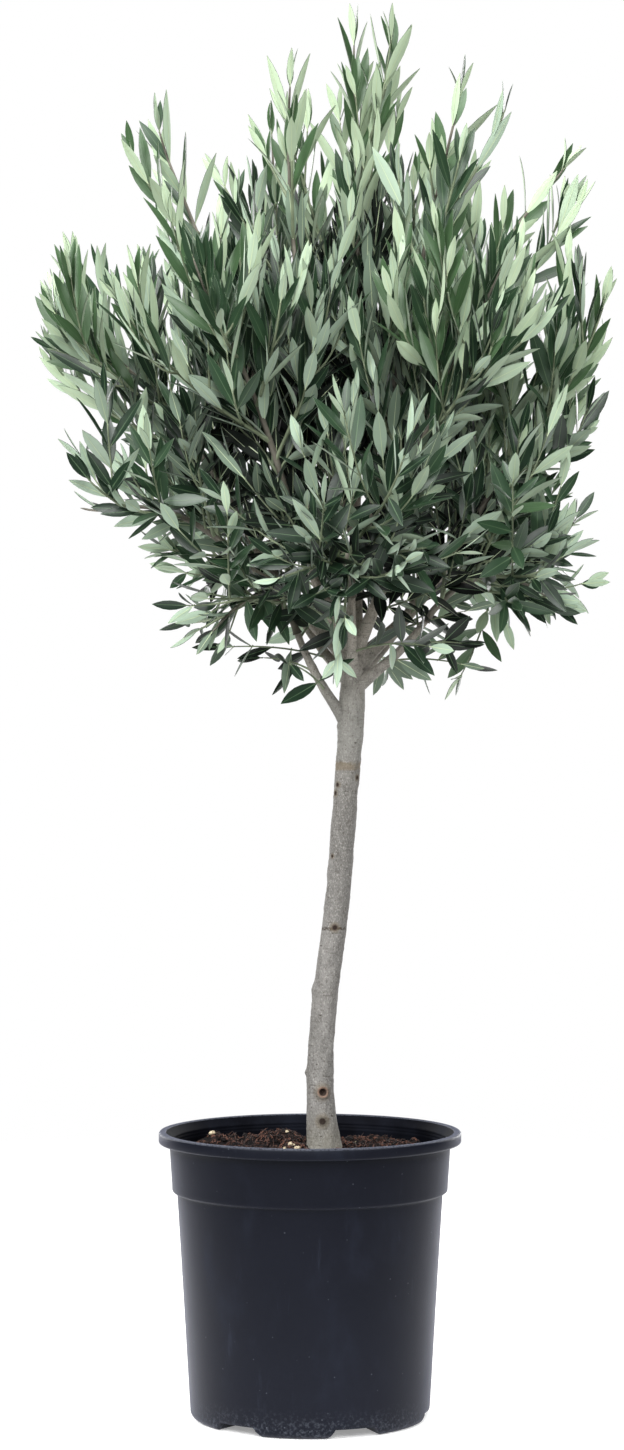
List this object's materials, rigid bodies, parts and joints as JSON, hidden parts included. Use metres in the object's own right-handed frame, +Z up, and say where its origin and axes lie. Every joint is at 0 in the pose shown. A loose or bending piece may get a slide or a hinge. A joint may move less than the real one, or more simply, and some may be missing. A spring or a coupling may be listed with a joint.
{
  "type": "potted olive tree",
  "caption": "Young olive tree grown as a standard: a slender leaning trunk, fanned boughs and a full round crown of narrow grey-green leaves, in a round black nursery pot filled with compost.",
  "frame": {"origin": "centre of the pot's flat underside, where the plant stands", "axes": "+Z up along the trunk, +X to the plant's right as seen from its front, +Y to its back"},
  "size_m": [0.4624, 0.4598, 1.1187],
  "materials": {
    "pot": "satin",
    "compost": "matte",
    "bark": "matte",
    "foliage": "satin"
  },
  "bodies": {
    "root": {"pot": "pot", "compost": "compost", "trunk": "bark", "bough_leader": "bark", "bough_upper_left": "bark", "bough_upper_front_left": "bark", "bough_upper_front_right": "bark", "bough_upper_right": "bark", "bough_upper_back_right": "bark", "bough_upper_back_left": "bark", "bough_middle_left": "bark", "bough_middle_front_left": "bark", "bough_middle_front_right": "bark", "bough_middle_right": "bark", "bough_middle_back_right": "bark", "bough_middle_back_left": "bark", "bough_lower_left": "bark", "bough_lowest_left": "bark", "bough_lower_front": "bark", "bough_lower_right": "bark", "bough_lower_back_right": "bark", "bough_lower_back_left": "bark", "foliage_leader": "foliage", "foliage_upper_left": "foliage", "foliage_upper_front_left": "foliage", "foliage_upper_front_right": "foliage", "foliage_upper_right": "foliage", "foliage_upper_back_right": "foliage", "foliage_upper_back_left": "foliage", "foliage_middle_left": "foliage", "foliage_middle_front_left": "foliage", "foliage_middle_front_right": "foliage", "foliage_middle_right": "foliage", "foliage_middle_back_right": "foliage", "foliage_middle_back_left": "foliage", "foliage_lower_left": "foliage", "foliage_lowest_left": "foliage", "foliage_lower_front": "foliage", "foliage_lower_right": "foliage", "foliage_lower_back_right": "foliage", "foliage_lower_back_left": "foliage"}
  },
  "joints": []
}
